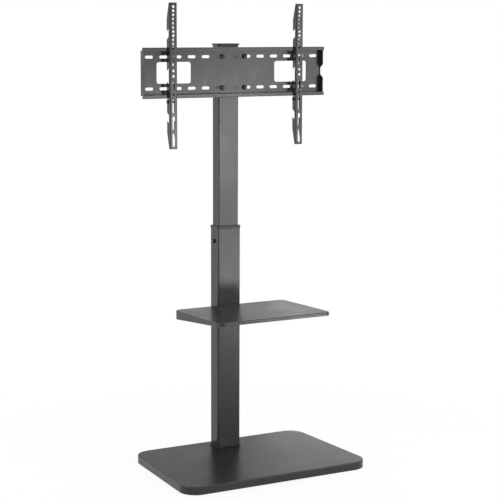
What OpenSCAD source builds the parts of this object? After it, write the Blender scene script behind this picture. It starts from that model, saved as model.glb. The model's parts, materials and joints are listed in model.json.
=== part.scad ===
// Floor stand for a flat television: a pressed steel base, a column in two tubes that
// slide in each other, a small shelf, and a slotted wall plate with two hook-on arms.
// X runs to the right, Y to the back and Z up. The origin is on the floor, under the
// middle of the base. The upper tube is drawn at its lowest setting.

/* [Base] */
// Width of the base along its back edge
base_back_w = 626; // [560:2:700]
// Width of the base along its front edge
base_front_w = 670; // [600:2:760]
// Depth of the base from front to back
base_d = 448; // [400:2:540]
// Height of the folded rim, with the top sheet
base_h = 26; // [22:1:36]
// Thickness of the base's sheet
base_sheet = 2.5; // [1.5:0.5:3]
// Radius of the base's corners in plan
base_corner_r = 55; // [30:1:80]
// Width of the two cross braces under the top sheet
brace_w = 34; // [30:1:36]
// Distance from the base's edge to the middle of a cross brace
brace_inset = 24; // [22:1:26]
// Thickness of the braces' sheet
brace_sheet = 2; // [1.5:0.5:3]
// Width of the spine channel that carries the column
spine_w = 90; // [76:2:120]
// Height of the spine channel
spine_h = 20; // [14:1:20]
// Thickness of the spine channel
spine_sheet = 3; // [2:0.5:4]
// Diameter of a rubber pad
pad_d = 30; // [20:1:34]
// Thickness of a rubber pad
pad_t = 3; // [2.5:0.5:5]
// Gap that the pads leave between the rim and the floor
floor_gap = 2; // [1:0.5:2.5]

/* [Column] */
// Distance from the base's back edge to the middle of the column
col_inset = 64; // [62:1:110]
// Width of the lower tube
lower_w = 85; // [74:1:88]
// Depth of the lower tube
lower_d = 54; // [48:1:60]
// Outer corner radius of the lower tube
lower_r = 6; // [4:0.5:9]
// Outer corner radius of the upper tube
upper_r = 5; // [3:0.5:8]
// Wall of both tubes
tube_wall = 2; // [1.5:0.5:2.5]
// Height of the lower tube's top edge above the floor
lower_top = 778; // [740:2:900]
// Height of the upper tube's top edge above the middle of the wall plate
upper_over = 86; // [70:1:120]
// How far the column foot stands out around the lower tube
foot_lip = 4; // [3:0.5:10]
// Thickness of the column foot
foot_t = 4; // [3:0.5:8]
// Distance between the foot bolts across the stand
foot_bolt_x = 52; // [40:1:56]
// Distance between the foot bolts from front to back
foot_bolt_y = 28; // [24:1:30]
// Plastic guide at each side of the upper tube
guide_side = 3; // [1.5:0.1:3]
// Plastic guide in front of and behind the upper tube
guide_face = 3.5; // [1.5:0.1:4]
// Height of the collar's outer band
collar_h = 9; // [6:0.5:14]
// How far the collar stands above the lower tube
collar_over = 3; // [2:0.5:5]
// Thickness of the collar's outer band
collar_wall = 1.5; // [1:0.1:3]
// Depth of the collar's guide inside the lower tube
collar_skirt = 40; // [20:1:42]
// Thickness of the top cap
cap_t = 5; // [3:0.5:8]
// How far the top cap stands out around the upper tube
cap_lip = 3.5; // [1:0.5:4]
// Depth of the plugs inside the upper tube
plug_h = 15; // [8:1:18]
// Thickness of the bottom guide under the upper tube
glide_t = 10; // [6:1:14]

/* [Height lock] */
// How far the upper tube can be raised
travel = 180; // [100:10:190]
// Distance from the lower tube's top edge down to the lock bolt
lock_drop = 48; // [48:1:60]
// Length of upper tube left below its height slots
slot_tail = 36; // [30:1:40]

/* [Wall plate] */
// Height of the wall plate's middle above the floor, at the lowest setting
plate_z = 1287.5; // [1250:0.5:1500]
// Width of the wall plate along its lips
plate_w = 664; // [640:2:720]
// Height of the wall plate from lip to lip
plate_h = 160; // [156:1:170]
// Depth of the wall plate from its web's face to its lips' face
plate_depth = 20; // [16:1:26]
// Thickness of the wall plate's sheet
plate_sheet = 2; // [1.5:0.5:2.5]
// Height of each lip
lip_h = 11; // [9:0.5:16]
// How far the lips run past the end flanges
lip_past = 3.5; // [3:0.5:10]
// Distance between neighbouring slots in a row
slot_pitch = 50; // [48:1:51]
// Number of slots in a row
slot_count = 13; // [9:2:13]
// Length of a slot
slot_len = 28; // [24:1:34]
// Width of a slot
slot_w = 9.5; // [8.5:0.5:11]
// Distance between the two rows of slots
row_gap = 100; // [96:1:104]
// Width of a window
window_w = 121; // [80:1:130]
// Height of a window
window_h = 68; // [40:1:76]
// Corner radius of a window
window_r = 8; // [4:1:16]
// Distance from the plate's middle to the middle of a window
window_x = 213.5; // [200:0.5:230]
// Height of the notch in an end flange
notch_h = 44; // [20:1:60]
// Height of the notch at its bottom
notch_floor_h = 22; // [10:1:30]
// Depth of the notch
notch_depth = 17; // [8:1:18]

/* [Head bracket] */
// Distance from the upper tube's face to the back of the wall plate
bracket_reach = 30.5; // [24:0.5:45]
// Width of the bracket's front plate
bracket_w = 95; // [95:1:110]
// Height of the bracket's front plate
bracket_h = 130; // [120:1:144]
// Thickness of the bracket's front plate
bracket_t = 6; // [5:0.5:8]
// Thickness of the bracket's two side cheeks
cheek_t = 3; // [2:0.5:4]
// How far the cheeks run behind the middle of the column
cheek_tail = 16; // [12:1:20]
// Distance between the two bolts through the column
cross_bolt_gap = 60; // [40:1:70]
// Distance between the plate bolts across the stand
plate_bolt_x = 82; // [81:0.5:86]

/* [Arms] */
// Distance from the stand's middle to the middle of an arm
arm_x = 230; // [100:1:290]
// Length of an arm
arm_h = 460; // [440:1:480]
// Width of an arm
arm_w = 26; // [22:1:30]
// Depth of an arm's side flanges
arm_d = 22; // [20.5:0.5:23]
// Depth of a side flange in its notches
arm_notch_d = 8.5; // [6:0.5:10]
// Depth of a side flange at the ends of the arm
arm_end_d = 7; // [5:0.5:10]
// Thickness of the arms' sheet
arm_sheet = 2; // [1.5:0.5:2.5]
// Outer radius of the arms' two long bends
arm_bend_r = 3; // [2.5:0.5:5]
// Distance from the lips' face to the arms' front face
arm_proud = 12; // [11:0.5:13]
// Distance from the middle of the wall plate down to the middle of an arm
arm_drop = 10; // [0:1:14]
// Distance from an arm's top end to its first hole
first_hole = 12.8; // [10:0.1:20]
// Diameter of the arms' holes, and width of their slots
hole_d = 8.5; // [6:0.5:9]
// Distance between neighbouring holes of the row
hole_pitch = 12.9; // [11:0.1:12.9]
// Number of holes in the row
hole_count = 15; // [10:1:15]
// Distance from the first hole to the hole that makes the standard pair
pair_gap = 200; // [200:1:202]
// Length of the long slots
long_slot = 42; // [30:1:46]
// Length of the short slot
short_slot = 26; // [16:1:28]

/* [Safety screws] */
// Diameter of a safety screw
safety_d = 6; // [4:0.5:8]
// Diameter of its round head
safety_head_d = 11; // [9:0.5:13]
// Height of its round head
safety_head_h = 5; // [3:0.5:8]
// Distance from the lower lip's edge down to the middle of a safety screw
safety_drop = 11; // [8:0.5:13]

/* [Shelf] */
// Width of the shelf
shelf_w = 412; // [300:2:460]
// Depth of the shelf
shelf_d = 318; // [270:2:340]
// Height of the shelf's rear top edge above the floor
shelf_z = 517; // [420:1:524]
// How much higher the shelf's front edge is than its rear edge
shelf_rise = 10; // [0:0.5:10]
// Thickness of the shelf's sheet
shelf_sheet = 2; // [1.5:0.5:3]
// Corner radius of the shelf in plan
shelf_r = 26; // [16:1:50]
// Height of the shelf's front flange
shelf_front_h = 11; // [8:0.5:18]
// Height of the shelf's rear flange
shelf_back_h = 30; // [20:1:33]
// Thickness of the shelf bracket's back plate
shelf_plate_t = 5; // [3:0.5:8]
// Width of the shelf bracket's back plate
shelf_plate_w = 76; // [72:1:78]
// Height of the shelf bracket's back plate
shelf_plate_h = 62; // [60:1:70]
// Thickness of the shelf bracket's arms
gusset_t = 3; // [2:0.5:4]
// Length of the shelf bracket's arms
gusset_len = 230; // [180:5:255]
// Height of the shelf bracket's arms at their front end
gusset_tip_h = 11; // [8:1:16]
// Distance between the outer faces of the shelf bracket's arms
gusset_x = 70; // [68:1:72]
// Width of the flange on top of each arm
gusset_flange = 16; // [14:1:24]

/* [Fasteners] */
// Shank diameter of the large bolts
bolt_d = 8; // [7:0.5:8]
// Width across the flats of a large bolt's head
bolt_head_w = 13; // [12:0.5:14]
// Height of a large bolt's head
bolt_head_h = 5.3; // [4:0.1:6]
// Height of a large nut
bolt_nut_h = 6.5; // [4:0.5:8]
// Diameter of a large washer
washer_d = 17; // [15:0.5:18]
// Thickness of a large washer
washer_t = 1.6; // [1:0.1:2]
// Shank diameter of the shelf bracket's bolts
small_bolt_d = 6; // [5:0.5:6]
// Width across the flats of a shelf bracket bolt's head
small_head_w = 10; // [9:0.5:11]
// Height of a shelf bracket bolt's head
small_head_h = 4; // [3:0.5:5]
// Height of a weld nut inside the column
small_nut_h = 5; // [4:0.5:6]
// Distance between the shelf bracket's bolts across the stand
small_bolt_x = 40; // [30:1:42]
// Distance between the shelf bracket's bolts from top to bottom
small_bolt_z = 14; // [13:0.5:16]
// Diameter of a weld stud under the shelf
stud_d = 5; // [4:0.5:6]
// Width across the flats of a nut on a weld stud
stud_nut_w = 8; // [7:0.5:10]
// Height of a nut on a weld stud
stud_nut_h = 4; // [3:0.5:5]
// How far a bolt, stud or safety screw stands out past what holds it
bolt_end = 1; // [0.5:0.5:2]

/* [Fits] */
// Gap round the upper tube where it slides
slide_gap = 0.3; // [0.2:0.05:0.5]
// Gap between a plastic plug and the tube that it sits in
plug_gap = 0.1; // [0.05:0.05:0.2]
// Gap all round a bolt in a plain hole
bolt_gap = 0.3; // [0.2:0.05:0.5]
// Gap all round a bolt in a thread
thread_gap = 0.05; // [0.02:0.01:0.1]
// Gap in front of and behind a lip in an arm's hook
hook_gap = 1; // [0.6:0.1:1.5]
// Extra height of a hook's mouth, so that an arm lifts over the lip with ease
mouth_room = 5; // [2:0.5:8]
// Extra height of the cut over the lower lip
lower_room = 3.5; // [1:0.5:6]
// Gap between an arm's hook and the lip that carries it
hook_seat = 0.3; // [0.2:0.05:0.5]
// Gap under the head of a safety screw
head_gap = 0.3; // [0.2:0.05:0.5]
// Gap between the shelf and the lower tube, and beside the plate in the shelf's rear flange
shelf_gap = 0.3; // [0.2:0.05:0.5]

/* [Hidden] */
$fn = 64;
// Overrun of every cut past the face that it opens
over = 1;
// Straight steps in each corner of the base's plan
corner_steps = 14;
// Angle between a hexagon's corner and its flat
hex_half = 30;
// Colours of powder coat, black plastic, black screws, zinc and rubber
coat = [0.24, 0.24, 0.25];
black = [0.06, 0.06, 0.06];
screw_black = [0.1, 0.1, 0.1];
zinc = [0.72, 0.72, 0.7];
rubber = [0.09, 0.09, 0.09];

// Base
base_top = floor_gap + base_h;
base_under = base_top - base_sheet;
base_lean = (base_front_w - base_back_w) / 2 / base_d;
base_slant = sqrt(1 + base_lean * base_lean);
front_brace_y = brace_inset - base_d / 2;
rear_brace_y = base_d / 2 - brace_inset;
front_brace_w = base_front_w - 2 * base_corner_r;
rear_brace_w = base_back_w - 2 * base_corner_r;

// Column
col_y = base_d / 2 - col_inset;
lower_bottom = base_top + foot_t;
lower_in_w = lower_w - 2 * tube_wall;
lower_in_d = lower_d - 2 * tube_wall;
lower_in_r = lower_r - tube_wall;
upper_w = lower_in_w - 2 * guide_side;
upper_d = lower_in_d - 2 * guide_face;
upper_in_w = upper_w - 2 * tube_wall;
upper_in_d = upper_d - 2 * tube_wall;
upper_in_r = upper_r - tube_wall;
upper_top = plate_z + upper_over;
lock_z = lower_top - lock_drop;
height_slot_r = bolt_d / 2 + bolt_gap;
upper_bottom = lock_z - travel - height_slot_r - slot_tail;

// Wall plate, with its places measured from the front face of its web
web_y = col_y - upper_d / 2 - bracket_reach - plate_sheet;
lip_face_y = web_y - plate_depth;
lip_in_z = plate_h / 2 - lip_h;
flange_end_x = plate_w / 2 - lip_past;
bracket_y = web_y + plate_sheet;

// Arms, with heights measured from the middle of the arm
arm_y = lip_face_y - arm_proud;
arm_z = plate_z - arm_drop;
first_hole_z = arm_h / 2 - first_hole;
lip_y = arm_proud;
hook_y = lip_y - hook_gap;
hook_end_y = lip_y + plate_sheet + hook_gap;
upper_lip_top = plate_h / 2 + arm_drop;
upper_lip_low = lip_in_z + arm_drop;
lower_lip_top = arm_drop - lip_in_z;
lower_lip_low = arm_drop - plate_h / 2;
safety_y = lip_y + plate_sheet / 2;
safety_z = lower_lip_low - safety_drop;
// Heights on the rear edge of an arm, as shares of half its length
taper_share = 0.774;
notch_shares = [0.617, 0.652, 0.535, 0.496];
middle_notch_shares = [0.078, 0.122];
// Distances of the later openings below the first hole, as shares of the arm's length
second_hole_share = 0.472;
short_slot_share = 0.5435;
third_hole_share = 0.595;
long_slot_shares = [0.678, 0.7925, 0.911];

// Shelf
shelf_tilt = asin(shelf_rise / shelf_d);
shelf_plate_y = col_y - lower_d / 2 - shelf_plate_t;
shelf_y = shelf_plate_y + shelf_plate_t - shelf_gap;
small_bolt_top = shelf_z - shelf_back_h - small_head_w;
stud_x = (gusset_x + gusset_flange) / 2;
stud_share = [0.22, 0.87];
flange_low = shelf_sheet + gusset_t;
gusset_root = shelf_gap - shelf_plate_t / 2;

// Half the width of the base at a place between its front and its back
function base_half(y) = (base_front_w + base_back_w) / 4 - base_lean * y;

// Middle of a corner's arc, on the side sx and at the end sy
function corner(sx, sy) =
    let (y = sy * (base_d / 2 - base_corner_r))
    [sx * (base_half(y) - base_corner_r * base_slant), y];

// Points along an arc about the point c
function arc(c, r, from, to) = [
    for (i = [0 : corner_steps])
        let (a = from + (to - from) * i / corner_steps)
        c + r * [cos(a), sin(a)]
];

// Plan of the base, drawn in from its edge
module base_plan(inset = 0) {
    r = base_corner_r - inset;
    turn = atan(base_lean);
    polygon(concat(
        arc(corner(1, 1), r, turn, 90),
        arc(corner(-1, 1), r, 90, 180 - turn),
        arc(corner(-1, -1), r, 180 - turn, 270),
        arc(corner(1, -1), r, 270, 360 + turn)
    ));
}

// Rectangle with round corners, about its middle
module rounded(w, d, r) {
    square([w - 2 * r, d], center = true);
    square([w, d - 2 * r], center = true);
    for (sx = [-1, 1], sy = [-1, 1])
        translate([sx * (w / 2 - r), sy * (d / 2 - r)])
            circle(r);
}

// Slot with round ends, along the first axis
module slot(length, width) {
    square([length - width, width], center = true);
    for (s = [-1, 1])
        translate([s * (length - width) / 2, 0])
            circle(d = width);
}

// Straight tube with round corners, standing on z = 0
module tube(w, d, r, length) {
    difference() {
        linear_extrude(length)
            rounded(w, d, r);
        translate([0, 0, -over])
            linear_extrude(length + 2 * over)
                rounded(w - 2 * tube_wall, d - 2 * tube_wall, r - tube_wall);
    }
}

// Hexagon prism on z = 0, measured across its flats
module hexagon(width, height) {
    cylinder(d = width / cos(hex_half), h = height, $fn = 6);
}

// Turns what points up so that it points to the right
module pointing_right() {
    rotate([0, 90, 0])
        children();
}

// Turns what points up so that it points to the back
module pointing_back() {
    rotate([-90, 0, 0])
        children();
}

// Puts a copy at the four corners of a rectangle
module four(dx, dy) {
    for (sx = [-1, 1], sy = [-1, 1])
        translate([sx * dx / 2, sy * dy / 2, 0])
            children();
}

// Large bolt with its head's seat at z = 0 and its shank upwards
module large_bolt(length) {
    translate([0, 0, -bolt_head_h])
        hexagon(bolt_head_w, bolt_head_h);
    cylinder(d = bolt_d, h = length);
}

// Large nut on z = 0
module large_nut() {
    difference() {
        hexagon(bolt_head_w, bolt_nut_h);
        translate([0, 0, -over])
            cylinder(r = bolt_d / 2 + thread_gap, h = bolt_nut_h + 2 * over);
    }
}

module base_tray() {
    color(coat)
        difference() {
            translate([0, 0, floor_gap])
                linear_extrude(base_h)
                    base_plan();
            translate([0, 0, floor_gap - over])
                linear_extrude(base_h - base_sheet + over)
                    base_plan(base_sheet);
            translate([0, col_y, base_under - over])
                four(foot_bolt_x, foot_bolt_y)
                    cylinder(r = bolt_d / 2 + bolt_gap, h = base_sheet + 2 * over);
        }
}

// Channel open downwards between the braces, under the column
module base_spine() {
    start = front_brace_y + brace_w / 2;
    end = rear_brace_y - brace_w / 2;
    color(coat)
        difference() {
            translate([-spine_w / 2, start, base_under - spine_h])
                cube([spine_w, end - start, spine_h]);
            translate([spine_sheet - spine_w / 2, start - over, base_under - spine_h - over])
                cube([spine_w - 2 * spine_sheet, end - start + 2 * over, spine_h - spine_sheet + over]);
            translate([0, col_y, base_under - spine_sheet - over])
                four(foot_bolt_x, foot_bolt_y)
                    cylinder(r = bolt_d / 2 + bolt_gap, h = spine_sheet + 2 * over);
        }
}

// Channel open upwards that stands on two pads
module brace(length, y) {
    height = base_under - pad_t;
    color(coat)
        translate([-length / 2, y - brace_w / 2, pad_t])
            difference() {
                cube([length, brace_w, height]);
                translate([-over, brace_sheet, brace_sheet])
                    cube([length + 2 * over, brace_w - 2 * brace_sheet, height]);
            }
}

module front_brace() {
    brace(front_brace_w, front_brace_y);
}

module rear_brace() {
    brace(rear_brace_w, rear_brace_y);
}

module rubber_pads() {
    color(rubber)
        for (s = [-1, 1]) {
            translate([s * (front_brace_w - pad_d) / 2, front_brace_y, 0])
                cylinder(d = pad_d, h = pad_t);
            translate([s * (rear_brace_w - pad_d) / 2, rear_brace_y, 0])
                cylinder(d = pad_d, h = pad_t);
        }
}

module column_foot() {
    color(black)
        translate([0, col_y, base_top])
            difference() {
                linear_extrude(foot_t)
                    rounded(lower_w + 2 * foot_lip, lower_d + 2 * foot_lip, lower_r + foot_lip);
                translate([0, 0, -over])
                    four(foot_bolt_x, foot_bolt_y)
                        cylinder(r = bolt_d / 2 + thread_gap, h = foot_t + 2 * over);
            }
}

module foot_bolts() {
    seat = base_under - spine_sheet;
    color(screw_black)
        translate([0, col_y, seat])
            four(foot_bolt_x, foot_bolt_y)
                large_bolt(lower_bottom - seat);
}

module lower_column() {
    color(coat)
        difference() {
            translate([0, col_y, lower_bottom])
                tube(lower_w, lower_d, lower_r, lower_top - lower_bottom);
            translate([-lower_w / 2 - over, col_y, lock_z])
                pointing_right()
                    cylinder(r = bolt_d / 2 + bolt_gap, h = lower_w + 2 * over);
            translate([0, col_y - lower_d / 2 - over, 0])
                small_bolt_places()
                    cylinder(r = small_bolt_d / 2 + bolt_gap, h = tube_wall + 2 * over);
        }
}

// Plastic ring on the lower tube's top edge, with a guide that reaches down inside
module column_collar() {
    band_w = lower_w + 2 * collar_wall;
    band_d = lower_d + 2 * collar_wall;
    reach = collar_skirt + collar_over;
    color(black)
        translate([0, col_y, lower_top])
            difference() {
                union() {
                    difference() {
                        translate([0, 0, collar_over - collar_h])
                            linear_extrude(collar_h)
                                rounded(band_w, band_d, lower_r + collar_wall);
                        translate([0, 0, -collar_h])
                            linear_extrude(collar_h)
                                rounded(lower_w + 2 * plug_gap, lower_d + 2 * plug_gap, lower_r + plug_gap);
                    }
                    translate([0, 0, -collar_skirt])
                        linear_extrude(reach)
                            rounded(lower_in_w - 2 * plug_gap, lower_in_d - 2 * plug_gap, lower_in_r);
                }
                translate([0, 0, -collar_skirt - over])
                    linear_extrude(reach + 2 * over)
                        rounded(upper_w + 2 * slide_gap, upper_d + 2 * slide_gap, upper_r + slide_gap);
            }
}

// Bolt from side to side through both tubes, on which the upper tube hangs by its slots
module height_lock_bolt() {
    color(screw_black)
        translate([-lower_w / 2, col_y, lock_z])
            pointing_right()
                large_bolt(lower_w + bolt_nut_h + bolt_end);
}

module height_lock_nut() {
    color(screw_black)
        translate([lower_w / 2, col_y, lock_z])
            pointing_right()
                large_nut();
}

module upper_column() {
    slot_length = travel + 2 * height_slot_r;
    color(coat)
        difference() {
            translate([0, col_y, upper_bottom])
                tube(upper_w, upper_d, upper_r, upper_top - upper_bottom);
            translate([-upper_w / 2 - over, col_y, lock_z - travel / 2])
                pointing_right()
                    linear_extrude(upper_w + 2 * over)
                        slot(slot_length, 2 * height_slot_r);
            for (s = [-1, 1])
                translate([-upper_w / 2 - over, col_y, plate_z + s * cross_bolt_gap / 2])
                    pointing_right()
                        cylinder(r = bolt_d / 2 + bolt_gap, h = upper_w + 2 * over);
        }
}

// Hollow plug for an end of the upper tube, standing on z = 0
module tube_plug() {
    difference() {
        linear_extrude(plug_h)
            rounded(upper_in_w - 2 * plug_gap, upper_in_d - 2 * plug_gap, upper_in_r);
        translate([0, 0, -over])
            linear_extrude(plug_h + 2 * over)
                rounded(upper_in_w - 2 * guide_face, upper_in_d - 2 * guide_face, upper_in_r - plug_gap);
    }
}

// Plastic guide on the upper tube's lower end
module column_glide() {
    color(black)
        translate([0, col_y, upper_bottom]) {
            translate([0, 0, -glide_t])
                linear_extrude(glide_t)
                    rounded(lower_in_w - 2 * slide_gap, lower_in_d - 2 * slide_gap, lower_in_r);
            tube_plug();
        }
}

module column_cap() {
    color(black)
        translate([0, col_y, upper_top]) {
            linear_extrude(cap_t)
                rounded(upper_w + 2 * cap_lip, upper_d + 2 * cap_lip, upper_r + cap_lip);
            mirror([0, 0, 1])
                tube_plug();
        }
}

// Side cheek of the head bracket, with its inner face at x = 0
module cheek() {
    start = bracket_y + bracket_t - col_y;
    difference() {
        rotate([90, 0, 90])
            linear_extrude(cheek_t)
                polygon([
                    [start, -bracket_h / 2], [start, bracket_h / 2],
                    [-upper_d / 2, bracket_h / 2],
                    [cheek_tail, cross_bolt_gap / 2 + bolt_head_w],
                    [cheek_tail, -cross_bolt_gap / 2 - bolt_head_w],
                    [-upper_d / 2, -bracket_h / 2]
                ]);
        for (s = [-1, 1])
            translate([-over, 0, s * cross_bolt_gap / 2])
                pointing_right()
                    cylinder(r = bolt_d / 2 + bolt_gap, h = cheek_t + 2 * over);
    }
}

module head_bracket() {
    color(coat) {
        translate([0, bracket_y, plate_z])
            difference() {
                translate([-bracket_w / 2, 0, -bracket_h / 2])
                    cube([bracket_w, bracket_t, bracket_h]);
                translate([0, -over, 0])
                    pointing_back()
                        four(plate_bolt_x, row_gap)
                            cylinder(r = bolt_d / 2 + thread_gap, h = bracket_t + 2 * over);
            }
        translate([0, col_y, plate_z]) {
            translate([upper_w / 2, 0, 0])
                cheek();
            mirror([1, 0, 0])
                translate([upper_w / 2, 0, 0])
                    cheek();
        }
    }
}

module cross_bolts() {
    length = upper_w + 2 * cheek_t + bolt_nut_h + bolt_end;
    color(screw_black)
        for (s = [-1, 1])
            translate([-upper_w / 2 - cheek_t, col_y, plate_z + s * cross_bolt_gap / 2])
                pointing_right()
                    large_bolt(length);
}

module cross_bolt_nuts() {
    color(screw_black)
        for (s = [-1, 1])
            translate([upper_w / 2 + cheek_t, col_y, plate_z + s * cross_bolt_gap / 2])
                pointing_right()
                    large_nut();
}

// One lip with its flange, above the middle of the plate
module plate_edge() {
    translate([-plate_w / 2, -plate_depth, lip_in_z])
        cube([plate_w, plate_sheet, lip_h]);
    translate([-flange_end_x, -plate_depth, lip_in_z])
        cube([2 * flange_end_x, plate_depth + plate_sheet, plate_sheet]);
}

// Flange at the plate's right end, with its notch
module plate_end() {
    floor_y = notch_depth - plate_depth;
    translate([flange_end_x - plate_sheet, 0, 0])
        rotate([90, 0, 90])
            linear_extrude(plate_sheet)
                polygon([
                    [0, -lip_in_z], [0, lip_in_z], [-plate_depth, lip_in_z],
                    [-plate_depth, notch_h / 2], [floor_y, notch_floor_h / 2],
                    [floor_y, -notch_floor_h / 2], [-plate_depth, -notch_h / 2],
                    [-plate_depth, -lip_in_z]
                ]);
}

module wall_plate() {
    color(coat)
        translate([0, web_y, plate_z])
            difference() {
                union() {
                    translate([-flange_end_x, 0, -lip_in_z - plate_sheet])
                        cube([2 * flange_end_x, plate_sheet, 2 * (lip_in_z + plate_sheet)]);
                    plate_edge();
                    mirror([0, 0, 1])
                        plate_edge();
                    plate_end();
                    mirror([1, 0, 0])
                        plate_end();
                }
                translate([0, -over, 0])
                    pointing_back()
                        linear_extrude(plate_sheet + 2 * over) {
                            for (s = [-1, 1], i = [0 : slot_count - 1])
                                translate([(i - (slot_count - 1) / 2) * slot_pitch, s * row_gap / 2])
                                    slot(slot_len, slot_w);
                            for (s = [-1, 1])
                                translate([s * window_x, 0])
                                    rounded(window_w, window_h, window_r);
                        }
            }
}

module plate_bolts() {
    color(screw_black)
        translate([0, web_y - washer_t, plate_z])
            pointing_back()
                four(plate_bolt_x, row_gap)
                    large_bolt(washer_t + plate_sheet + bracket_t);
}

module plate_washers() {
    color(screw_black)
        translate([0, web_y - washer_t, plate_z])
            pointing_back()
                four(plate_bolt_x, row_gap)
                    difference() {
                        cylinder(d = washer_d, h = washer_t);
                        translate([0, 0, -over])
                            cylinder(r = bolt_d / 2 + bolt_gap, h = washer_t + 2 * over);
                    }
}

// Rear edge of the upper half of an arm's side flange, from its end to the middle
function arm_edge(half) = [
    [arm_end_d, half],
    [arm_d, half * taper_share],
    [arm_d, half * notch_shares[0]],
    [arm_notch_d, half * notch_shares[1]],
    [arm_notch_d, half * notch_shares[2]],
    [arm_d, half * notch_shares[3]],
    [arm_d, half * middle_notch_shares[0]],
    [arm_notch_d, half * middle_notch_shares[1]]
];

// Side flange seen from the right, with depth along the first axis
module arm_side() {
    upper = arm_edge(arm_h / 2);
    last = len(upper) - 1;
    lower = [for (i = [last : -1 : 0]) [upper[i][0], -upper[i][1]]];
    polygon(concat([[0, arm_h / 2]], upper, lower, [[0, -arm_h / 2]]));
}

// Cross-section of an arm, open to the back
module arm_section() {
    difference() {
        union() {
            translate([-arm_w / 2, arm_bend_r])
                square([arm_w, arm_d - arm_bend_r]);
            translate([arm_bend_r - arm_w / 2, 0])
                square([arm_w - 2 * arm_bend_r, arm_d]);
            for (s = [-1, 1])
                translate([s * (arm_w / 2 - arm_bend_r), arm_bend_r])
                    circle(arm_bend_r);
        }
        translate([arm_sheet - arm_w / 2, arm_sheet])
            square([arm_w - 2 * arm_sheet, arm_d]);
    }
}

// Openings in an arm's front face, with height along the second axis
module arm_holes() {
    for (i = [0 : hole_count - 1])
        translate([0, first_hole_z - i * hole_pitch])
            circle(d = hole_d);
    translate([0, first_hole_z - pair_gap])
        circle(d = hole_d);
    for (share = [second_hole_share, third_hole_share])
        translate([0, first_hole_z - share * arm_h])
            circle(d = hole_d);
    translate([0, first_hole_z - short_slot_share * arm_h])
        rotate(90)
            slot(short_slot, hole_d);
    for (share = long_slot_shares)
        translate([0, first_hole_z - share * arm_h])
            rotate(90)
                slot(long_slot, hole_d);
}

// Cuts in the side flanges that let an arm hook over the upper lip and meet the lower one
module arm_hooks() {
    reach = arm_d + over;
    wide = arm_w + 2 * over;
    mouth = upper_lip_low - lip_h - mouth_room - 2 * hook_gap;
    translate([-wide / 2, hook_y, mouth])
        cube([wide, reach, upper_lip_low + plate_sheet + hook_gap - mouth]);
    translate([-wide / 2, hook_y, mouth])
        cube([wide, hook_end_y - hook_y, upper_lip_top + hook_seat - mouth]);
    translate([-wide / 2, hook_y, lower_lip_low - hook_gap])
        cube([wide, reach, lower_lip_top - lower_lip_low + lower_room + 2 * hook_gap]);
}

// Arm with its front face at y = 0 and its middle at z = 0
module arm() {
    difference() {
        intersection() {
            translate([0, 0, -arm_h / 2])
                linear_extrude(arm_h)
                    arm_section();
            translate([-arm_w / 2, 0, 0])
                rotate([90, 0, 90])
                    linear_extrude(arm_w)
                        arm_side();
        }
        translate([0, arm_sheet + over, 0])
            rotate([90, 0, 0])
                linear_extrude(arm_sheet + 2 * over)
                    arm_holes();
        arm_hooks();
        translate([-arm_w / 2 - over, safety_y, safety_z])
            pointing_right()
                cylinder(r = safety_d / 2 + thread_gap, h = arm_w + 2 * over);
        translate([0, safety_y, safety_z])
            pointing_right()
                cylinder(r = safety_d / 2 + bolt_gap, h = arm_w / 2 + over);
    }
}

module left_arm() {
    color(coat)
        translate([-arm_x, arm_y, arm_z])
            arm();
}

module right_arm() {
    color(coat)
        translate([arm_x, arm_y, arm_z])
            arm();
}

// Screw across an arm, under the lower lip, with its head on the left and its thread in the left flange
module safety_screw(x) {
    color(screw_black)
        translate([x - arm_w / 2 - head_gap, arm_y + safety_y, arm_z + safety_z])
            pointing_right() {
                translate([0, 0, -safety_head_h])
                    cylinder(d = safety_head_d, h = safety_head_h);
                cylinder(d = safety_d, h = head_gap + arm_w + bolt_end);
            }
}

module left_safety_screw() {
    safety_screw(-arm_x);
}

module right_safety_screw() {
    safety_screw(arm_x);
}

// Places what is drawn from the middle of the shelf's rear top edge
module on_shelf() {
    translate([0, shelf_y, shelf_z])
        rotate([-shelf_tilt, 0, 0])
            children();
}

// Plan of the shelf, drawn in from its edge
module shelf_plan(inset = 0) {
    translate([0, -shelf_d / 2])
        rounded(shelf_w - 2 * inset, shelf_d - 2 * inset, shelf_r - inset);
}

// Pressed shelf with a folded rim, open behind where the bracket's plate stands
module shelf() {
    color(coat)
        on_shelf()
            difference() {
                translate([0, 0, -shelf_back_h])
                    linear_extrude(shelf_back_h)
                        shelf_plan();
                translate([0, 0, -shelf_back_h - over])
                    linear_extrude(shelf_back_h - shelf_sheet + over)
                        shelf_plan(shelf_sheet);
                translate([-shelf_w / 2 - over, 0, 0])
                    rotate([90, 0, 90])
                        linear_extrude(shelf_w + 2 * over)
                            polygon([
                                [over, -shelf_back_h], [-shelf_d - over, -shelf_front_h],
                                [-shelf_d - over, -shelf_back_h - over], [over, -shelf_back_h - over]
                            ]);
                translate([-shelf_plate_w / 2 - shelf_gap, -shelf_sheet - over, -shelf_back_h - over])
                    cube([
                        shelf_plate_w + 2 * shelf_gap,
                        shelf_sheet + 2 * over,
                        shelf_back_h + over - shelf_sheet
                    ]);
            }
}

// Right-hand arm of the shelf bracket, drawn from the shelf's rear top edge
module gusset() {
    translate([gusset_x / 2 - gusset_t, 0, 0])
        rotate([90, 0, 90])
            linear_extrude(gusset_t)
                polygon([
                    [gusset_root, -shelf_sheet], [-gusset_len, -shelf_sheet],
                    [-gusset_len, -shelf_sheet - gusset_tip_h],
                    [gusset_root, gusset_t - shelf_plate_h]
                ]);
    difference() {
        translate([gusset_x / 2 - gusset_t, -gusset_len, -flange_low])
            cube([gusset_flange, gusset_len - 2 * shelf_sheet, gusset_t]);
        stud_places()
            cylinder(r = stud_d / 2 + bolt_gap, h = 2 * flange_low, center = true);
    }
}

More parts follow.
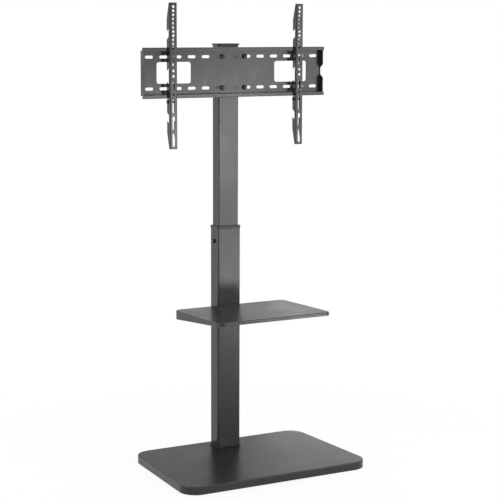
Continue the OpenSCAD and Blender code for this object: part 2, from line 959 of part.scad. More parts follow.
// Places the two right-hand studs on the plane of the shelf's top
module stud_places() {
    for (share = stud_share)
        translate([stud_x - gusset_t, -share * gusset_len, 0])
            children();
}

module shelf_bracket() {
    color(coat) {
        difference() {
            translate([-shelf_plate_w / 2, shelf_plate_y, shelf_z - flange_low - shelf_plate_h + gusset_t])
                cube([shelf_plate_w, shelf_plate_t, shelf_plate_h]);
            translate([0, shelf_plate_y - over, 0])
                small_bolt_places()
                    cylinder(r = small_bolt_d / 2 + bolt_gap, h = shelf_plate_t + 2 * over);
        }
        on_shelf() {
            gusset();
            mirror([1, 0, 0])
                gusset();
        }
    }
}

// Places the shelf bracket's four bolts, each pointing back
module small_bolt_places() {
    for (sx = [-1, 1], i = [0, 1])
        translate([sx * small_bolt_x / 2, 0, small_bolt_top - i * small_bolt_z])
            pointing_back()
                children();
}

module shelf_bolts() {
    color(screw_black)
        translate([0, shelf_plate_y, 0])
            small_bolt_places() {
                translate([0, 0, -small_head_h])
                    hexagon(small_head_w, small_head_h);
                cylinder(d = small_bolt_d, h = shelf_plate_t + tube_wall + small_nut_h);
            }
}

module shelf_weld_nuts() {
    color(zinc)
        translate([0, shelf_plate_y + shelf_plate_t + tube_wall, 0])
            small_bolt_places()
                difference() {
                    hexagon(small_head_w, small_nut_h);
                    translate([0, 0, -over])
                        cylinder(r = small_bolt_d / 2 + thread_gap, h = small_nut_h + 2 * over);
                }
}

// Studs welded under the shelf, each with its nut under the bracket's flange
module shelf_stud_nuts() {
    color(zinc)
        on_shelf()
            for (side = [0, 1])
                mirror([side, 0, 0])
                    stud_places()
                        translate([0, 0, -flange_low - stud_nut_h]) {
                            hexagon(stud_nut_w, stud_nut_h);
                            translate([0, 0, -bolt_end])
                                cylinder(d = stud_d, h = bolt_end + stud_nut_h + gusset_t);
                        }
}

base_tray();
base_spine();
front_brace();
rear_brace();
rubber_pads();
column_foot();
foot_bolts();
lower_column();
column_collar();
height_lock_bolt();
height_lock_nut();
upper_column();
column_glide();
column_cap();
head_bracket();
cross_bolts();
cross_bolt_nuts();
wall_plate();
plate_bolts();
plate_washers();
left_arm();
right_arm();
left_safety_screw();
right_safety_screw();
shelf();
shelf_bracket();
shelf_bolts();
shelf_weld_nuts();
shelf_stud_nuts();
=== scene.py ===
"""Looks of a television floor stand: satin powder coat, black plastic and plain fasteners.

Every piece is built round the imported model, in metres, with X to the right, Y to the back and Z up.
"""

import json
import math

import bmesh
import bpy
from mathutils import Matrix, Vector


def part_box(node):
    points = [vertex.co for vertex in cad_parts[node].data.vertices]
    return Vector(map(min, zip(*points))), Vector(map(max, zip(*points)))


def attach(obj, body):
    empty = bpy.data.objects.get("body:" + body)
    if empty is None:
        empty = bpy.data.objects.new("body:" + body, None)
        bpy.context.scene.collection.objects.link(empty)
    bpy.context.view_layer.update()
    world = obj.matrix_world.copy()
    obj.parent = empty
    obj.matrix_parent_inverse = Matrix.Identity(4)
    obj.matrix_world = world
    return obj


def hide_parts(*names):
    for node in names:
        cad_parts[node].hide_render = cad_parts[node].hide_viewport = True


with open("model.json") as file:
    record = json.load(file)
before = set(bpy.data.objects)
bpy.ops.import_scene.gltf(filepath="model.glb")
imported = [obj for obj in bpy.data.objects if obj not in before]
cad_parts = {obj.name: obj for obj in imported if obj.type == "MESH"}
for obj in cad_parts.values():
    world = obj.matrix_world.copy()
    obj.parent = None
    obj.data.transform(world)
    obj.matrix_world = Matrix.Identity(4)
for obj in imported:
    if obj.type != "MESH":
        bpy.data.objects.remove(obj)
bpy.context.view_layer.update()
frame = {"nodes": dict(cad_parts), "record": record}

MM = 0.001

# Directions, and the numbers of two axes
UP = (0, 0, 1)
DOWN = (0, 0, -1)
LEFT = (-1, 0, 0)
FRONT = (0, -1, 0)
BACK = (0, 1, 0)
Y_AXIS = 1
Z_AXIS = 2

# Mesh work
WELD = 1e-6
FLAT_ANGLE = 0.01
SHARP_ANGLE = math.radians(33)
ROUND_STEPS = 3
FOLD_STEPS = 5
ROUND_PROFILE = 0.5
FLAT_WEIGHT = 100
SAME_PLACE = 0.05 * MM
SORT_DIGITS = 5

# How far up a face's normal points: least for the matt coat's painted shade, least for a level top, most
# for a rim
TOP_SLOPE = 0.8
LEVEL_SLOPE = 0.99
RIM_SLOPE = 0.5

# Sheet sizes and radii, as in the construction
PLATE_SHEET = 2 * MM
EDGE_ROUND = 0.45 * MM
FOLD_IN = 1.0 * MM
FOLD_OUT = FOLD_IN + PLATE_SHEET
LONG_BEND = 5 * FOLD_OUT
BASE_FOLD = 2.6 * MM
SHELF_FOLD = 2.4 * MM
FOOT_ROUND = 1.9 * MM
CAP_ROUND = 1.0 * MM
GUIDE_ROUND = 0.6 * MM
WASHER_ROUND = 0.3 * MM

# Hexagon bolts and nuts
TURN_STEPS = 36
BOLT_D = 8 * MM
BOLT_PITCH = 1.25 * MM
BOLT_HEAD_W = 13 * MM
BOLT_HEAD_H = 5.3 * MM
SMALL_D = 6 * MM
SMALL_PITCH = 1.0 * MM
SMALL_HEAD_W = 10 * MM
SMALL_HEAD_H = 4 * MM
STUD_D = 5 * MM
STUD_NUT_W = 8 * MM
FOOT_THREAD = 16 * MM
COLUMN_THREAD = 22 * MM
PLATE_THREAD = 20 * MM
SHELF_THREAD = 12 * MM
MOST_THREAD = 0.9
HEX_CHAMFER = math.radians(28)
WASHER_FACE_SHARE = 0.95
BORE_CHAMFER_SHARE = 0.1

# Threads and points: depth below the crest and place along the axis, both in pitches
THREAD_PROFILE = ((0.45, 0.1), (0, 0.45), (0, 0.6), (0.45, 0.95))
POINT_LENGTH = 0.6
BOLT_POINT = ((1, 0), (0.45, POINT_LENGTH))
SCREW_POINT = ((1, 0), (0.4, POINT_LENGTH))

# Safety screws. The head's profile is in shares of its radius and height, the recess's in shares of its
# size and depth
SCREW_PITCH = 1.0 * MM
SCREW_HEAD_D = 11 * MM
SCREW_HEAD_H = 5 * MM
SCREW_HEAD_PROFILE = ((0.97, 0), (1, 0.08), (1, 0.32), (0.93, 0.62), (0.8, 0.84), (0.62, 0.96))
CROSS_LENGTH = 5.2 * MM
CROSS_WIDTH = 1.3 * MM
CROSS_DEPTH = 2.0 * MM
CROSS_PROFILE = ((1, 0), (0.9, 0.2), (0.55, 1))

# Pads, in shares of their radius and height
PAD_GROOVES = 3
PAD_GROOVE_START = 0.2
PAD_GROOVE_STEP = 0.24
PAD_GROOVE_PROFILE = ((0, 0), (0.03, 0.25), (0.09, 0.25), (0.12, 0))
PAD_SIDE_PROFILE = ((0.94, 0), (0.985, 0.07), (1, 0.25), (1, 0.8), (0.97, 0.97), (0.93, 1))

# Coats: dark, light and worn grey, lowest and highest roughness, and specular level. The tops of the base
# and the shelf have the matt one, a copy of the powder coat with less gloss whose darker grey is painted
# shade
COATS = {
    # The matt coat's darker greys are painted shade for upward faces
    "matt_coat": (0.008, 0.012, 0.045, 0.28, 0.34, 0.1),
    "powder_coat": (0.017, 0.022, 0.05, 0.22, 0.29, 0.32),
    "black_coat": (0.008, 0.011, 0.03, 0.42, 0.5, 0.3),
}
# Metals: dark and light colour, lowest and highest roughness, metallic share and specular level
METALS = {
    "black_screw": ((0.01, 0.01, 0.01), (0.015, 0.015, 0.015), 0.34, 0.46, 0.0, 0.25),
    "zinc_steel": ((0.55, 0.55, 0.54), (0.68, 0.68, 0.66), 0.25, 0.4, 1.0, 0.5),
}
# Dark and light grey of the plastic and of the rubber, and their lowest and highest roughness
PLASTIC = (0.008, 0.012, 0.48, 0.6)
RUBBER = (0.012, 0.03, 0.7, 0.9)

# Noises of the finishes: scale per metre, detail and roughness
NOISES = {
    "coat_clouds": (7.0, 3.0, 0.5),
    "coat_specks": (900.0, 2.0, 0.7),
    "coat_scuffs": (60.0, 4.0, 0.7),
    "coat_shine": (14.0, 4.0, 0.6),
    "coat_peel": (330.0, 1.0, 0.5),
    "coat_grain": (2400.0, 2.0, 0.5),
    "plastic_clouds": (40.0, 3.0, 0.5),
    "plastic_shine": (90.0, 2.0, 0.5),
    "plastic_grain": (1500.0, 3.0, 0.7),
    "rubber_dust": (120.0, 4.0, 0.7),
    "rubber_grain": (900.0, 3.0, 0.5),
    "metal_clouds": (180.0, 4.0, 0.6),
    "metal_marks": (420.0, 3.0, 0.7),
}
# Bumps of the finishes: strength and height
BUMPS = {
    "coat_peel": (0.25, 0.06 * MM),
    "coat_grain": (0.35, 0.02 * MM),
    "plastic_grain": (0.5, 0.05 * MM),
    "rubber_grain": (0.4, 0.06 * MM),
    "metal_marks": (0.25, 0.03 * MM),
}
# Ranges that are mapped to a whole one: a noise's middle, two noises' sum, scuffs, dust and convex edges
WHOLE = (0.0, 1.0)
NOISE_MIDDLE = (0.3, 0.7)
SUM_MIDDLE = (0.75, 1.25)
SCUFF_RANGE = (0.4, 0.7)
DUST_RANGE = (0.45, 0.75)
EDGE_RANGE = (0.53, 0.62)

# Camera, from the fit to the photograph
CAMERA_PLACE = Vector((-2.32550, -4.25530, 1.44434))
CAMERA_YAW = 0.50121
CAMERA_PITCH = 0.14867
CAMERA_ROLL = 0.00303
CAMERA_LENS = 109.09
CAMERA_SENSOR = 36.0

# Floor and studio
WHITE = (1.0, 1.0, 1.0, 1.0)
FLOOR_PAINT = (0.85, 0.85, 0.85, 1.0)
FLOOR_CORNERS = ((-1, -1), (1, -1), (1, 1), (-1, 1))
FLOOR_HALF = 14.0
FLOOR_SHADOW_SHARE = 0.12
FLOOR_SHADOW_REACH = 0.75
FLOOR_FADE_REACH = 1.3
# Brightness of the studio to the right, left, back and front, and above, and how fast it fades between
STUDIO_SIDES = (
    ((1, 0, 0), 0.4), ((-1, 0, 0), 0.4), ((0, 1, 0), 0.4), ((0, -1, 0), 0.9), ((0, 0, 1), 0.3),
)
STUDIO_FADE = 2.0
# Each soft lamp's place and aim in metres, its width and height in metres, and its power in watts
SOFTBOXES = {
    "key_floor": ((1.7, -2.0, 0.12), (0, 0.1, 0.6), 1.3, 0.22, 15.0),
    "key_low": ((1.7, -2.0, 0.35), (0, 0.1, 0.35), 1.3, 0.5, 4.0),
    "key_high": ((1.7, -2.0, 1.35), (0, 0.1, 1.35), 1.3, 0.5, 8.5),
    "front": ((1.15, -2.5, 0.85), (0, 0.1, 0.85), 0.8, 0.5, 15.0),
    "left_back": ((-2.2, 1.7, 0.7), (0, 0, 0.7), 1.2, 1.2, 14.0),
    "left": ((-2.7, -0.3, 0.6), (0, 0, 0.6), 1.0, 1.0, 22.0),
    "back": ((-0.2, 2.4, 2.8), (0, 0.1, 0.8), 1.4, 1.4, 16.0),
    "right_back": ((2.1, 2.4, 0.5), (0, 0, 0.3), 1.2, 0.7, 4.5),
    "top": ((0.3, 0, 3.2), (0, 0.1, 0.7), 2.0, 2.0, 58.0),
}


def mesh_object(name, bm, material):
    """Puts the mesh in the scene, with smooth faces and sharp folds."""
    mesh = bpy.data.meshes.new(name)
    bm.to_mesh(mesh)
    bm.free()
    if "custom_normal" in mesh.attributes:
        mesh.attributes.remove(mesh.attributes["custom_normal"])
    for face in mesh.polygons:
        face.use_smooth = True
    mesh.set_sharp_from_angle(angle=SHARP_ANGLE)
    mesh.materials.clear()
    mesh.materials.append(material)
    made = bpy.data.objects.new(name, mesh)
    bpy.context.scene.collection.objects.link(made)
    return made


def body_of_node(node):
    """The body that a node belongs to in the record."""
    for body, nodes in frame["record"]["behaviour"]["bodies"].items():
        if node in nodes:
            return body
    raise ValueError(node)


def slot_of_node(node):
    """The finish that a node has in the record."""
    for part in frame["record"]["subparts"]:
        if part["node"] == node:
            return part["material_slot"]
    raise ValueError(node)


def stand_in(node, bm):
    """The mesh as a piece that takes the node's place, body and finish."""
    finish = slot_of_node(node)
    piece = mesh_object("finished_" + node, bm, MATERIALS[finish])
    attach(piece, body_of_node(node))
    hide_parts(node)
    return piece


def cad_copy(node):
    """A welded copy of a node's mesh with its flat faces in one piece."""
    bm = bmesh.new()
    bm.from_mesh(frame["nodes"][node].data)
    bmesh.ops.remove_doubles(bm, verts=bm.verts[:], dist=WELD)
    bmesh.ops.dissolve_limit(bm, angle_limit=FLAT_ANGLE, verts=bm.verts[:], edges=bm.edges[:])
    return bm


def round_edges(bm, edges, radius, steps=ROUND_STEPS):
    """Rounds the edges, if there are any."""
    if edges:
        bmesh.ops.bevel(
            bm, geom=edges, offset=radius, offset_type="OFFSET", segments=steps,
            profile=ROUND_PROFILE, affect="EDGES", clamp_overlap=True, loop_slide=True,
        )


def sharp_edges(bm):
    """The edges between two faces that meet at a clear angle."""
    return [e for e in bm.edges if len(e.link_faces) == 2 and e.calc_face_angle() > SHARP_ANGLE]


def finished(node, radius=EDGE_ROUND, folds=None):
    """A node with rounded edges and flat faces that look flat. folds rounds its bends first."""
    bm = cad_copy(node)
    if folds:
        folds(bm)
    round_edges(bm, sharp_edges(bm), radius)
    piece = stand_in(node, bm)
    smooth = piece.modifiers.new("weighted_normals", "WEIGHTED_NORMAL")
    smooth.keep_sharp = True
    smooth.weight = FLAT_WEIGHT
    return piece


def matt_painted_shade_top(piece):
    """Gives the faces that look up the matt coat, whose darker grey is painted shade on the tops."""
    piece.data.materials.append(MATERIALS["matt_coat"])
    painted_shade_index = len(piece.data.materials) - 1
    for face in piece.data.polygons:
        if face.normal.z > TOP_SLOPE:
            face.material_index = painted_shade_index


def on_plane(edge, axis, places):
    """True if both ends of the edge lie at one of the places along the axis."""
    a, b = (v.co[axis] for v in edge.verts)
    return any(abs(a - p) < SAME_PLACE and abs(b - p) < SAME_PLACE for p in places)


def top_folds(radius):
    """Rounds the bend between a pressed sheet's top and its outer rim, which is taller than the bend."""

    def work(bm):
        picked = []
        for edge in sharp_edges(bm):
            ups = [f.normal.z > LEVEL_SLOPE for f in edge.link_faces]
            sides = [abs(f.normal.z) < RIM_SLOPE for f in edge.link_faces]
            if any(ups) and any(sides):
                rim = edge.link_faces[sides.index(True)]
                heights = [v.co.z for v in rim.verts]
                if max(heights) - min(heights) > 2 * radius:
                    picked.append(edge)
        round_edges(bm, picked, radius, FOLD_STEPS)

    return work


def plate_folds(bm):
    """Rounds the long bends of the wall plate, outside and inside."""
    low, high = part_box("wall_plate")
    for inset, radius in ((0, FOLD_OUT), (PLATE_SHEET, FOLD_IN)):
        depths = [high.y - inset, low.y + inset]
        levels = [low.z + inset, high.z - inset]
        picked = [
            e for e in sharp_edges(bm)
            if on_plane(e, Z_AXIS, levels) and on_plane(e, Y_AXIS, depths)
            and abs(e.verts[0].co.x - e.verts[1].co.x) > LONG_BEND
        ]
        round_edges(bm, picked, radius, FOLD_STEPS)


def islands(node):
    """The boxes of a node's separate solids, as (low, high) pairs in a steady order."""
    bm = cad_copy(node)
    left = set(bm.verts)
    boxes = []
    while left:
        group = []
        queue = [left.pop()]
        while queue:
            vert = queue.pop()
            group.append(vert.co.copy())
            for edge in vert.link_edges:
                other = edge.other_vert(vert)
                if other in left:
                    left.remove(other)
                    queue.append(other)
        low = Vector([min(c[i] for c in group) for i in range(3)])
        high = Vector([max(c[i] for c in group) for i in range(3)])
        boxes.append((low, high))
    bm.free()
    return sorted(boxes, key=lambda b: tuple(round(c, SORT_DIGITS) for c in b[0]))


def circle(radius):
    """The same distance from the middle at every angle."""
    return lambda angle: radius


def hexagon(across):
    """Distance from the middle to the side of a hexagon at an angle."""
    sector = math.pi / 3
    return lambda angle: across / 2 / math.cos((angle + sector / 2) % sector - sector / 2)


def cross(length, width, share):
    """Distance from the middle to the side of a cross recess at an angle, times a share."""

    def radius(angle):
        far = max(abs(math.cos(angle)), abs(math.sin(angle)))
        near = min(abs(math.cos(angle)), abs(math.sin(angle)))
        if near * length < width * far:
            return share * (length / 2 / far)
        return share * (width / 2 / near)

    return radius


def loft(rings, place, ring=False):
    """A closed mesh through rings of (radius rule, height or height rule).

    Its ends are capped, or else, for a ring such as a nut, its last ring joins its first.
    """
    bm = bmesh.new()
    rows = []
    for radius, height in rings:
        row = []
        for i in range(TURN_STEPS):
            angle = 2 * math.pi * i / TURN_STEPS
            r = radius(angle)
            z = height(r) if callable(height) else height
            row.append(bm.verts.new(place @ Vector((r * math.cos(angle), r * math.sin(angle), z))))
        rows.append(row)
    nexts = rows[1:] + rows[:1] if ring else rows[1:]
    for low, high in zip(rows, nexts):
        for i in range(TURN_STEPS):
            j = (i + 1) % TURN_STEPS
            bm.faces.new((low[i], low[j], high[j], high[i]))
    if not ring:
        bm.faces.new(rows[0][::-1])
        bm.faces.new(rows[-1])
        bmesh.ops.remove_doubles(bm, verts=bm.verts[:], dist=WELD)
    bmesh.ops.recalc_face_normals(bm, faces=bm.faces[:])
    return bm


def merge(parts):
    """One mesh from several."""
    whole = bmesh.new()
    for part in parts:
        mesh = bpy.data.meshes.new("part")
        part.to_mesh(mesh)
        part.free()
        whole.from_mesh(mesh)
        bpy.data.meshes.remove(mesh)
    return whole


def turned_to(place, axis):
    """The frame that stands at a place with its own Z along the axis."""
    return Matrix.Translation(place) @ Vector(axis).to_track_quat("Z", "Y").to_matrix().to_4x4()


def span(box, axis):
    """The middles of a box's two ends along an axis of unit length."""
    low, high = box
    middle = (low + high) / 2
    half = abs((high - low).dot(Vector(axis))) / 2
    return middle - Vector(axis) * half, middle + Vector(axis) * half


def hex_rings(across, low, high, both=False):
    """Rings of a hexagon block, with chamfered corners on top and, if both, below."""
    flat = across / 2 * WASHER_FACE_SHARE
    slope = math.tan(HEX_CHAMFER)
    top = [(hexagon(across), lambda r: high - max(r - flat, 0) * slope), (circle(flat), high)]
    if both:
        return [(circle(flat), low), (hexagon(across), lambda r: low + max(r - flat, 0) * slope)] + top
    return [(hexagon(across), low)] + top


def shank_rings(diameter, pitch, point, length, thread_end):
    """Rings of a shank from its point up to the head's seat at height 0, with a thread on the way."""
    r = diameter / 2
    tip = -length
    rings = [(circle(r - depth * pitch), tip + rise * pitch) for depth, rise in point]
    z = tip + POINT_LENGTH * pitch
    while z + pitch <= thread_end:
        rings += [(circle(r - pitch * depth), z + rise * pitch) for depth, rise in THREAD_PROFILE]
        z += pitch
    return rings + [(circle(r), thread_end), (circle(r), 0.0)]


def bolts(node, axis, diameter, pitch, head_w, head_h, thread):
    """Hexagon bolts in place of a node's solids, with heads at the axis's end."""
    parts = []
    for box in islands(node):
        tip, top = span(box, axis)
        length = (top - tip).length - head_h
        thread_end = min(thread, length * MOST_THREAD) - length
        rings = shank_rings(diameter, pitch, BOLT_POINT, length, thread_end)
        rings += hex_rings(head_w, 0.0, head_h)
        parts.append(loft(rings, turned_to(top - Vector(axis) * head_h, axis)))
    return stand_in(node, merge(parts))


def nuts(node, axis, across, bore):
    """Hexagon nuts with a chamfered bore in place of a node's solids."""
    chamfer = BORE_CHAMFER_SHARE * bore
    parts = []
    for box in islands(node):
        low, high = span(box, axis)
        height = (high - low).length
        rings = hex_rings(across, 0.0, height, both=True)
        rings += [(circle(bore / 2 + chamfer), height), (circle(bore / 2), height - chamfer)]
        rings += [(circle(bore / 2), chamfer), (circle(bore / 2 + chamfer), 0.0)]
        parts.append(loft(rings, turned_to(low, axis), ring=True))
    return stand_in(node, merge(parts))


def pan_screw(node, axis):
    """A screw with a domed head and a cross recess in place of a safety screw."""
    (box,) = islands(node)
    tip, top = span(box, axis)
    length = (top - tip).length - SCREW_HEAD_H
    rings = shank_rings(SMALL_D, SCREW_PITCH, SCREW_POINT, length, -SCREW_HEAD_H)
    head = SCREW_HEAD_D / 2
    rings += [(circle(head * share), SCREW_HEAD_H * rise) for share, rise in SCREW_HEAD_PROFILE]
    rings += [
        (cross(CROSS_LENGTH, CROSS_WIDTH, share), SCREW_HEAD_H - depth * CROSS_DEPTH)
        for share, depth in CROSS_PROFILE
    ]
    return stand_in(node, loft(rings, turned_to(top - Vector(axis) * SCREW_HEAD_H, axis)))


def pads(node):
    """Moulded pads with rounded edges and round grooves in their undersides."""
    parts = []
    for low, high in islands(node):
        middle = (low + high) / 2
        r = (high.x - low.x) / 2
        h = high.z - low.z
        rings = []
        for i in range(PAD_GROOVES):
            inner = r * (PAD_GROOVE_START + PAD_GROOVE_STEP * i)
            rings += [(circle(inner + out * r), rise * h) for out, rise in PAD_GROOVE_PROFILE]
        rings += [(circle(out * r), rise * h) for out, rise in PAD_SIDE_PROFILE]
        parts.append(loft(rings, Matrix.Translation((middle.x, middle.y, low.z))))
    return stand_in(node, merge(parts))


def add(tree, kind, inputs=None, **settings):
    """A shader node. Its inputs are values or other nodes' outputs."""
    made = tree.nodes.new("ShaderNode" + kind)
    for key, value in settings.items():
        setattr(made, key, value)
    for key, value in (inputs or {}).items():
        if isinstance(value, bpy.types.NodeSocket):
            tree.links.new(value, made.inputs[key])
        else:
            made.inputs[key].default_value = value
    return made


def calculate(tree, operation, a, b):
    """The result of a sum, product or the like of two values."""
    return add(tree, "Math", {0: a, 1: b}, operation=operation).outputs[0]


def noise(tree, place, name):
    """One of the noises, at a place."""
    scale, detail, rough = NOISES[name]
    inputs = {"Vector": place, "Scale": scale, "Detail": detail, "Roughness": rough}
    return add(tree, "TexNoise", inputs).outputs["Fac"]


def spread(tree, value, to=WHOLE, of=NOISE_MIDDLE):
    """Maps one range of the value to another."""
    made = add(
        tree, "MapRange",
        {"Value": value, "From Min": of[0], "From Max": of[1], "To Min": to[0], "To Max": to[1]},
    )
    return made.outputs["Result"]


def mix_colour(tree, share, a, b):
    """Blends two colours or greys, each a value or another node's output."""
    made = add(tree, "Mix", {"Factor": share}, data_type="RGBA")
    for socket, value in ((made.inputs[6], a), (made.inputs[7], b)):
        if isinstance(value, bpy.types.NodeSocket):
            tree.links.new(value, socket)
        elif isinstance(value, tuple):
            socket.default_value = (*value, 1.0)
        else:
            socket.default_value = (value, value, value, 1.0)
    return made.outputs[2]


def bumps(tree, heights):
    """Chained bump nodes from named heights."""
    normal = None
    for name, height in heights.items():
        strength, distance = BUMPS[name]
        inputs = {"Height": height, "Strength": strength, "Distance": distance}
        if normal:
            inputs["Normal"] = normal
        normal = add(tree, "Bump", inputs).outputs["Normal"]
    return normal


def blank_tree(data):
    """The emptied node tree of a material or world."""
    data.use_nodes = True
    data.node_tree.nodes.clear()
    return data.node_tree


def show(tree, kind, shader):
    """Makes the shader the output of a material or world."""
    tree.links.new(shader.outputs[0], add(tree, "Output" + kind).inputs["Surface"])


def blank_material(name):
    """A material with a plain shader and the object's own coordinates."""
    material = bpy.data.materials.new(name)
    tree = blank_tree(material)
    shader = add(tree, "BsdfPrincipled")
    show(tree, "Material", shader)
    place = add(tree, "TexCoord").outputs["Object"]
    return material, tree, shader, place


def drive(tree, shader, colour, roughness, normal):
    """Leads a colour, a roughness and a normal into the shader."""
    for key, value in (("Base Color", colour), ("Roughness", roughness), ("Normal", normal)):
        tree.links.new(value, shader.inputs[key])


def coat_material(name):
    """Sprayed and baked powder coat: orange peel, fine grain and faintly paler edges."""
    dark, light, worn, rough_low, rough_high, specular = COATS[name]
    material, tree, shader, place = blank_material(name)
    shader.inputs["Specular IOR Level"].default_value = specular
    blend = calculate(tree, "ADD", noise(tree, place, "coat_clouds"), noise(tree, place, "coat_specks"))
    colour = mix_colour(tree, spread(tree, blend, of=SUM_MIDDLE), dark, light)
    convex = add(tree, "NewGeometry").outputs["Pointiness"]
    scuffs = spread(tree, noise(tree, place, "coat_scuffs"), of=SCUFF_RANGE)
    edges = calculate(tree, "MULTIPLY", spread(tree, convex, of=EDGE_RANGE), scuffs)
    shine = spread(tree, noise(tree, place, "coat_shine"), to=(rough_low, rough_high))
    heights = {key: noise(tree, place, key) for key in ("coat_peel", "coat_grain")}
    drive(tree, shader, mix_colour(tree, edges, colour, worn), shine, bumps(tree, heights))
    return material


def plastic_material(name):
    """Black moulded plastic with a fine spark-eroded grain."""
    dark, light, rough_low, rough_high = PLASTIC
    material, tree, shader, place = blank_material(name)
    colour = mix_colour(tree, spread(tree, noise(tree, place, "plastic_clouds")), dark, light)
    shine = spread(tree, noise(tree, place, "plastic_shine"), to=(rough_low, rough_high))
    normal = bumps(tree, {"plastic_grain": noise(tree, place, "plastic_grain")})
    drive(tree, shader, colour, shine, normal)
    return material


def rubber_material(name):
    """Dull black rubber, dusty in patches."""
    dark, light, rough_low, rough_high = RUBBER
    material, tree, shader, place = blank_material(name)
    dust = noise(tree, place, "rubber_dust")
    colour = mix_colour(tree, spread(tree, dust, of=DUST_RANGE), dark, light)
    shine = spread(tree, dust, to=(rough_low, rough_high))
    normal = bumps(tree, {"rubber_grain": noise(tree, place, "rubber_grain")})
    drive(tree, shader, colour, shine, normal)
    return material


def metal_material(name):
    """Plated or blackened steel with faint marks."""
    dark, light, rough_low, rough_high, metallic, specular = METALS[name]
    material, tree, shader, place = blank_material(name)
    shader.inputs["Metallic"].default_value = metallic
    shader.inputs["Specular IOR Level"].default_value = specular
    colour = mix_colour(tree, spread(tree, noise(tree, place, "metal_clouds")), dark, light)
    marks = noise(tree, place, "metal_marks")
    shine = spread(tree, marks, to=(rough_low, rough_high))
    drive(tree, shader, colour, shine, bumps(tree, {"metal_marks": marks}))
    return material


def make_materials():
    """Each finish by its name."""
    makers = (
        ("matt_coat", coat_material),
        ("powder_coat", coat_material),
        ("black_coat", coat_material),
        ("black_plastic", plastic_material),
        ("black_screw", metal_material),
        ("zinc_steel", metal_material),
        ("rubber_pad", rubber_material),
    )
    return {name: maker(name) for name, maker in makers}


def make_steelwork():
    """The coated pieces, with the radii that folding and tube rolling leave."""
    # The tops of the base and the shelf get the matt coat, a darker copy of the powder coat that paints
    # shade on them
    matt_painted_shade_top(finished("base_tray", folds=top_folds(BASE_FOLD)))
    matt_painted_shade_top(finished("shelf", folds=top_folds(SHELF_FOLD)))
    finished("wall_plate", folds=plate_folds)
    for node in (
        "base_spine", "front_brace", "rear_brace", "lower_column", "upper_column",
        "head_bracket", "left_arm", "right_arm", "shelf_bracket",
    ):
        finished(node)
    finished("column_foot", FOOT_ROUND)


def make_plastics():
    """The moulded guides and the cap of the column, and the pads."""
    finished("column_collar", GUIDE_ROUND)
    finished("column_glide", GUIDE_ROUND)
    finished("column_cap", CAP_ROUND)
    pads("rubber_pads")


def make_fasteners():
    """The bolts, nuts, washers and screws."""
    large = (BOLT_D, BOLT_PITCH, BOLT_HEAD_W, BOLT_HEAD_H)
    small = (SMALL_D, SMALL_PITCH, SMALL_HEAD_W, SMALL_HEAD_H)
    bolts("foot_bolts", DOWN, *small, FOOT_THREAD)
    bolts("height_lock_bolt", LEFT, *large, COLUMN_THREAD)
    bolts("cross_bolts", LEFT, *large, COLUMN_THREAD)
    bolts("plate_bolts", FRONT, *large, PLATE_THREAD)
    bolts("shelf_bolts", FRONT, *small, SHELF_THREAD)
    nuts("height_lock_nut", LEFT, BOLT_HEAD_W, BOLT_D)
    nuts("cross_bolt_nuts", LEFT, BOLT_HEAD_W, BOLT_D)
    nuts("shelf_weld_nuts", BACK, SMALL_HEAD_W, SMALL_D)
    nuts("shelf_stud_nuts", UP, STUD_NUT_W, STUD_D)
    finished("plate_washers", WASHER_ROUND)
    pan_screw("left_safety_screw", LEFT)
    pan_screw("right_safety_screw", LEFT)


def make_camera():
    """The photograph's camera."""
    cos, sin = math.cos, math.sin
    across = Vector((cos(CAMERA_YAW), -sin(CAMERA_YAW), 0))
    level = Vector((sin(CAMERA_YAW), cos(CAMERA_YAW), 0))
    up = Vector(UP)
    ahead = level * cos(CAMERA_PITCH) - up * sin(CAMERA_PITCH)
    above = up * cos(CAMERA_PITCH) + level * sin(CAMERA_PITCH)
    right = across * cos(CAMERA_ROLL) + above * sin(CAMERA_ROLL)
    top = above * cos(CAMERA_ROLL) - across * sin(CAMERA_ROLL)
    data = bpy.data.cameras.new("camera")
    data.lens = CAMERA_LENS
    data.sensor_width = CAMERA_SENSOR
    camera = bpy.data.objects.new("camera", data)
    turn = Matrix((right, top, -ahead)).transposed().to_4x4()
    camera.matrix_world = Matrix.Translation(CAMERA_PLACE) @ turn
    bpy.context.scene.collection.objects.link(camera)
    bpy.context.scene.camera = camera


def seen_white(tree):
    """1 for the rays that show the background: camera, glossy and see-through rays."""
    path = add(tree, "LightPath")
    seen = path.outputs["Is Camera Ray"]
    for kind in ("Is Glossy Ray", "Is Transmission Ray"):
        seen = calculate(tree, "MAXIMUM", seen, path.outputs[kind])
    return seen


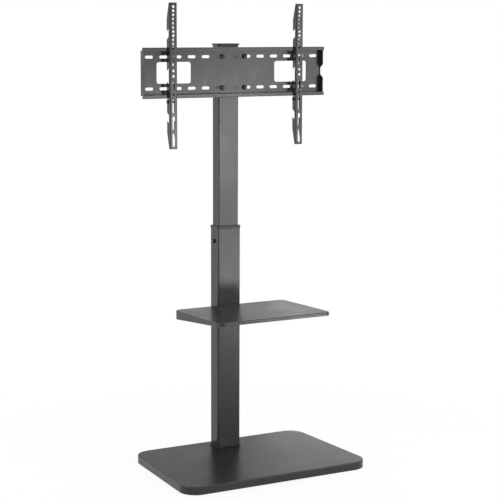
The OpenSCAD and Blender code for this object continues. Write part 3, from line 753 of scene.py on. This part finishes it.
def make_floor():
    """A plain pale floor that shows white and keeps a faint shadow."""
    bm = bmesh.new()
    bm.faces.new([bm.verts.new((x * FLOOR_HALF, y * FLOOR_HALF, 0)) for x, y in FLOOR_CORNERS])
    mesh = bpy.data.meshes.new("floor")
    bm.to_mesh(mesh)
    bm.free()
    material = bpy.data.materials.new("floor")
    tree = blank_tree(material)
    paint = add(tree, "BsdfDiffuse", {"Color": FLOOR_PAINT})
    white = add(tree, "Emission", {"Color": WHITE, "Strength": 1.0})
    place = add(tree, "TexCoord").outputs["Object"]
    reach = add(tree, "VectorMath", {0: place}, operation="LENGTH").outputs["Value"]
    clear = add(
        tree, "MapRange",
        {
            "Value": reach, "From Min": FLOOR_SHADOW_REACH, "From Max": FLOOR_FADE_REACH,
            "To Min": 1.0 - FLOOR_SHADOW_SHARE, "To Max": 1.0,
        },
        interpolation_type="SMOOTHSTEP",
    )
    share = calculate(tree, "MULTIPLY", seen_white(tree), clear.outputs[0])
    show(tree, "Material", add(tree, "MixShader", {0: share, 1: paint.outputs[0], 2: white.outputs[0]}))
    mesh.materials.append(material)
    floor = bpy.data.objects.new("floor", mesh)
    bpy.context.scene.collection.objects.link(floor)


def wall_light(tree):
    """Brightness of the studio round the object, blended from side to side by direction."""
    toward = add(tree, "TexCoord").outputs["Generated"]
    total = None
    for axis, level in STUDIO_SIDES:
        facing = add(tree, "VectorMath", {0: toward, 1: axis}, operation="DOT_PRODUCT").outputs["Value"]
        part = calculate(tree, "POWER", calculate(tree, "MAXIMUM", facing, 0.0), STUDIO_FADE)
        part = calculate(tree, "MULTIPLY", part, level)
        total = calculate(tree, "ADD", total, part) if total else part
    return total


def make_world():
    """A white background, and a soft light that is stronger from some sides than from others."""
    world = bpy.data.worlds.new("studio")
    bpy.context.scene.world = world
    tree = blank_tree(world)
    light = add(tree, "Background", {"Color": WHITE, "Strength": wall_light(tree)})
    white = add(tree, "Background", {"Color": WHITE, "Strength": 1.0})
    mixed = add(tree, "MixShader", {0: seen_white(tree), 1: light.outputs[0], 2: white.outputs[0]})
    show(tree, "World", mixed)


def make_lights():
    """The rectangular soft lamps, each turned to the point that it aims at."""
    for name, (place, aim, width, height, power) in SOFTBOXES.items():
        data = bpy.data.lights.new(name, "AREA")
        data.shape = "RECTANGLE"
        data.size = width
        data.size_y = height
        data.energy = power
        lamp = bpy.data.objects.new(name, data)
        lamp.location = place
        lamp.rotation_mode = "QUATERNION"
        lamp.rotation_quaternion = (Vector(aim) - Vector(place)).to_track_quat("-Z", "Y")
        bpy.context.scene.collection.objects.link(lamp)


bpy.context.scene.view_settings.view_transform = "Standard"
MATERIALS = make_materials()
make_camera()
make_steelwork()
make_plastics()
make_fasteners()
make_floor()
make_world()
make_lights()
